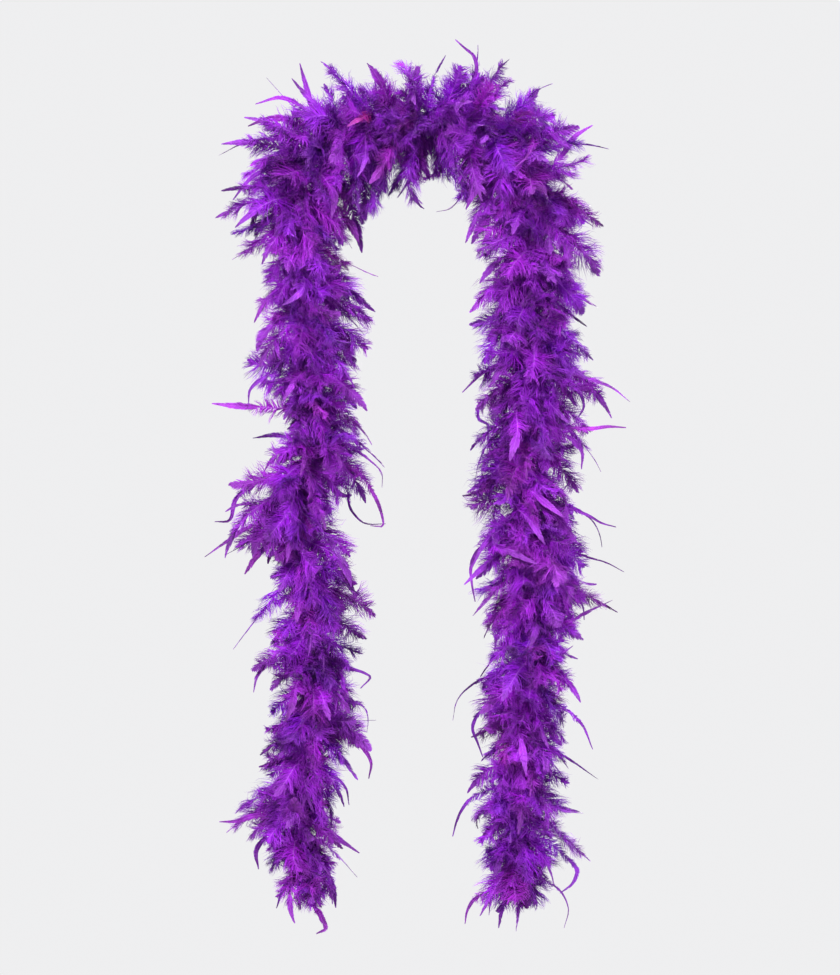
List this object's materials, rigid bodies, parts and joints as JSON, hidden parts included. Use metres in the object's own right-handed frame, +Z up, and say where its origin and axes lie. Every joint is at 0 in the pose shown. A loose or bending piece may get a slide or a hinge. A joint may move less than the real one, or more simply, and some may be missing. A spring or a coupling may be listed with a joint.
{
  "type": "feather boa",
  "caption": "Limp feather boa: pointed plumes and soft down feathers bound in rings round a twisted cord, hanging in an arch with free tails, to drape over the neck and shoulders.",
  "frame": {"origin": "middle of the core cord at the top of the arch, where the boa lies on a neck or a peg", "axes": "+Z up, the boa's long way; +X to the viewer's right, across the arch; +Y away from the viewer, through the boa's thickness"},
  "size_m": [0.3981, 0.1393, 0.8761],
  "materials": {
    "plume": "dyed feather, violet, silky vane with fine parallel barbs and a pale quill",
    "down": "dyed down, deep violet, soft and matt with loose curling barbs",
    "cord": "twisted cotton cord, dark violet",
    "thread": "wound sewing thread, dark violet"
  },
  "bodies": {
    "arch": {"cord_arch": "cord", "binding_arch": "thread", "plumes_arch": "plume", "wisps_arch": "plume", "fluff_arch": "down"},
    "left_1_link": {"cord_left_1": "cord", "binding_left_1": "thread", "plumes_left_1": "plume", "wisps_left_1": "plume", "fluff_left_1": "down"},
    "left_2_link": {"cord_left_2": "cord", "binding_left_2": "thread", "plumes_left_2": "plume", "wisps_left_2": "plume", "fluff_left_2": "down"},
    "left_3_link": {"cord_left_3": "cord", "binding_left_3": "thread", "plumes_left_3": "plume", "wisps_left_3": "plume", "fluff_left_3": "down"},
    "left_4_link": {"cord_left_4": "cord", "binding_left_4": "thread", "plumes_left_4": "plume", "wisps_left_4": "plume", "fluff_left_4": "down", "whipping_left": "thread", "knot_left": "cord"},
    "right_1_link": {"cord_right_1": "cord", "binding_right_1": "thread", "plumes_right_1": "plume", "wisps_right_1": "plume", "fluff_right_1": "down"},
    "right_2_link": {"cord_right_2": "cord", "binding_right_2": "thread", "plumes_right_2": "plume", "wisps_right_2": "plume", "fluff_right_2": "down"},
    "right_3_link": {"cord_right_3": "cord", "binding_right_3": "thread", "plumes_right_3": "plume", "wisps_right_3": "plume", "fluff_right_3": "down"},
    "right_4_link": {"cord_right_4": "cord", "binding_right_4": "thread", "plumes_right_4": "plume", "wisps_right_4": "plume", "fluff_right_4": "down", "whipping_right": "thread", "knot_right": "cord"}
  },
  "joints": [
    {"name": "left_shoulder_sway", "type": "hinge", "parent": "arch", "child": "left_1_link", "pos_m": [-0.124, 0, -0.09], "axis": [0, 1, 0], "range_deg": [-2, 75], "deforming": ["wisps_arch", "fluff_arch", "wisps_left_1", "fluff_left_1"]},
    {"name": "left_upper_swing", "type": "hinge", "parent": "left_1_link", "child": "left_2_link", "pos_m": [-0.11, 0.002, -0.26], "axis": [-1, 0, 0], "range_deg": [-60, 75], "deforming": ["wisps_left_1", "fluff_left_1", "wisps_left_2", "fluff_left_2"]},
    {"name": "left_middle_sway", "type": "hinge", "parent": "left_2_link", "child": "left_3_link", "pos_m": [-0.124, 0, -0.43], "axis": [0, 1, 0], "range_deg": [-4, 75], "deforming": ["wisps_left_2", "fluff_left_2", "wisps_left_3", "fluff_left_3"]},
    {"name": "left_lower_swing", "type": "hinge", "parent": "left_3_link", "child": "left_4_link", "pos_m": [-0.108, -0.003, -0.6], "axis": [-1, 0, 0], "range_deg": [-60, 75], "deforming": ["wisps_left_3", "fluff_left_3", "wisps_left_4", "fluff_left_4"]},
    {"name": "right_shoulder_sway", "type": "hinge", "parent": "arch", "child": "right_1_link", "pos_m": [0.118, 0, -0.09], "axis": [0, -1, 0], "range_deg": [-2, 75], "deforming": ["wisps_arch", "fluff_arch", "wisps_right_1", "fluff_right_1"]},
    {"name": "right_upper_swing", "type": "hinge", "parent": "right_1_link", "child": "right_2_link", "pos_m": [0.114, 0.002, -0.26], "axis": [-1, 0, 0], "range_deg": [-60, 75], "deforming": ["wisps_right_1", "fluff_right_1", "wisps_right_2", "fluff_right_2"]},
    {"name": "right_middle_sway", "type": "hinge", "parent": "right_2_link", "child": "right_3_link", "pos_m": [0.104, 0, -0.43], "axis": [0, -1, 0], "range_deg": [-4, 75], "deforming": ["wisps_right_2", "fluff_right_2", "wisps_right_3", "fluff_right_3"]},
    {"name": "right_lower_swing", "type": "hinge", "parent": "right_3_link", "child": "right_4_link", "pos_m": [0.106, -0.003, -0.6], "axis": [-1, 0, 0], "range_deg": [-60, 75], "deforming": ["wisps_right_3", "fluff_right_3", "wisps_right_4", "fluff_right_4"]}
  ]
}
